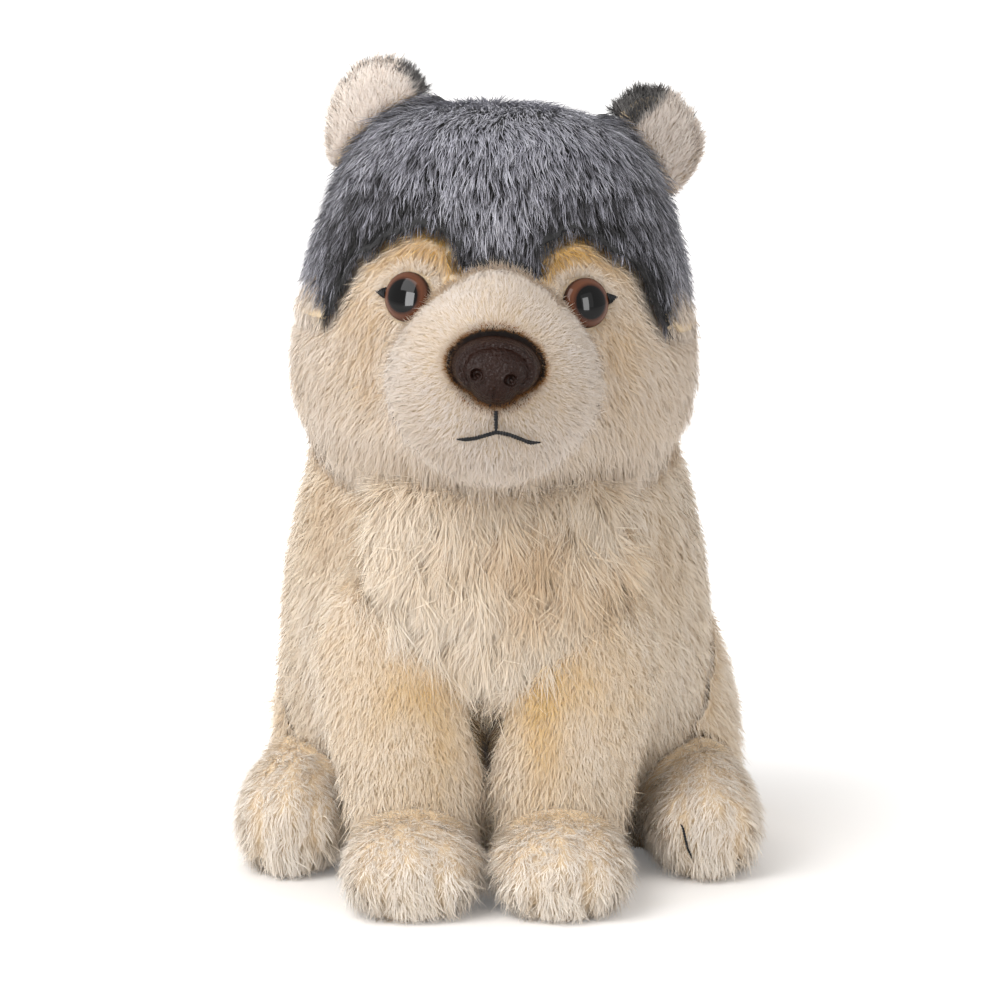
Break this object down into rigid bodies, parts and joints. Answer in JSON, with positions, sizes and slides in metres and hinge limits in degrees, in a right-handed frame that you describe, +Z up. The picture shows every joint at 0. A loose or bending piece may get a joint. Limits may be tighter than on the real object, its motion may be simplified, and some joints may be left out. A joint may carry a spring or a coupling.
{
  "type": "plush wolf",
  "caption": "Sitting plush wolf pup with a grey crown and back, cream face, chest and legs, moulded eyes and nose, and a stitched mouth.",
  "frame": {"origin": "on the flat seat under the body, midway between the wolf's feet", "axes": "+Z up, the wolf faces -Y, +X is the viewer's right from in front"},
  "size_m": [0.1523, 0.1978, 0.2284],
  "materials": {
    "cream_plush": "long-pile plush, cream with beige roots",
    "pale_plush": "short-pile plush, pale cream",
    "gold_plush": "smooth plush, cream with sprayed gold",
    "grey_plush": "long-pile plush, dark roots and pale grey tips",
    "charcoal_plush": "short-pile plush, charcoal",
    "eye_plastic": "polished, brown ring round a black pupil",
    "nose_plastic": "moulded leather grain, dark brown",
    "washer_plastic": "natural nylon",
    "black_thread": "stranded embroidery thread"
  },
  "bodies": {
    "root": {"torso": "cream_plush", "back_panel": "grey_plush", "chest_ruff": "cream_plush", "head": "cream_plush", "head_cap": "grey_plush", "muzzle": "pale_plush", "ear_front_left": "pale_plush", "ear_front_right": "pale_plush", "ear_back_left": "charcoal_plush", "ear_back_right": "charcoal_plush", "eye_left": "eye_plastic", "eye_right": "eye_plastic", "eye_washer_left": "washer_plastic", "eye_washer_right": "washer_plastic", "eye_corner_left": "black_thread", "eye_corner_right": "black_thread", "nose": "nose_plastic", "nose_washer": "washer_plastic", "mouth_stitch": "black_thread", "front_leg_left": "gold_plush", "front_leg_right": "gold_plush", "front_paw_left": "pale_plush", "front_paw_right": "pale_plush", "haunch_left": "cream_plush", "haunch_right": "cream_plush", "hind_foot_left": "pale_plush", "hind_foot_right": "pale_plush", "toe_stitch_front_left_inner": "black_thread", "toe_stitch_front_left_outer": "black_thread", "toe_stitch_front_right_inner": "black_thread", "toe_stitch_front_right_outer": "black_thread", "toe_stitch_hind_left_inner": "black_thread", "toe_stitch_hind_left_outer": "black_thread", "toe_stitch_hind_right_inner": "black_thread", "toe_stitch_hind_right_outer": "black_thread", "tail": "grey_plush"}
  },
  "joints": []
}
